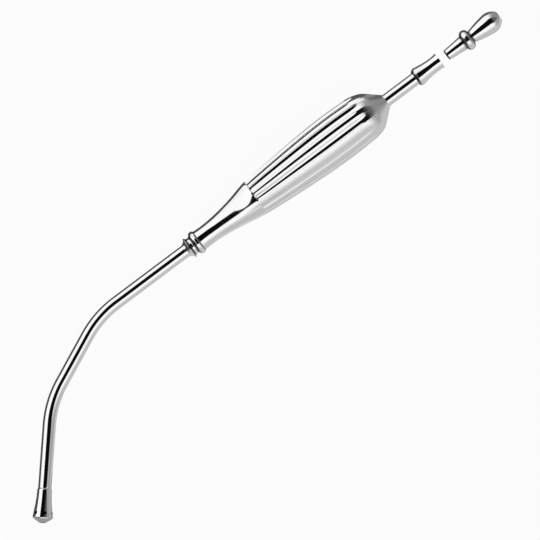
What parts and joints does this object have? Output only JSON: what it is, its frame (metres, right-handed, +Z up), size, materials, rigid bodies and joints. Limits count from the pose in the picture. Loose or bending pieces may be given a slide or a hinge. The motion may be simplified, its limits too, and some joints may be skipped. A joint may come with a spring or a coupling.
{
  "type": "suction tube",
  "caption": "Rigid curved metal suction tube with a fluted hollow handle, a perforated bulb tip and a plug-in olive connector for the suction hose.",
  "frame": {"origin": "on the surface that the instrument rests on, under the middle of its box", "axes": "+X along the handle towards the hose end, seen from above, +Z up; the arm bends towards -Y"},
  "size_m": [0.3028, 0.0726, 0.0247],
  "materials": {
    "polished_steel": "mirror polished"
  },
  "bodies": {
    "instrument": {"suction_tube": "polished_steel", "front_collar": "polished_steel", "neck_ring": "polished_steel", "handle_body": "polished_steel", "end_cone": "polished_steel", "hose_socket": "polished_steel"},
    "tip": {"strainer_tip": "polished_steel"},
    "connector": {"hose_connector": "polished_steel"}
  },
  "joints": [
    {"name": "tip_unscrew", "type": "slide", "parent": "instrument", "child": "tip", "axis": [-0.6557, -0.7542, 0.0341], "range_m": [0, 0.006]},
    {"name": "connector_plug", "type": "slide", "parent": "instrument", "child": "connector", "axis": [0.9979, 0, 0.0651], "range_m": [-0.0133, 0]}
  ]
}
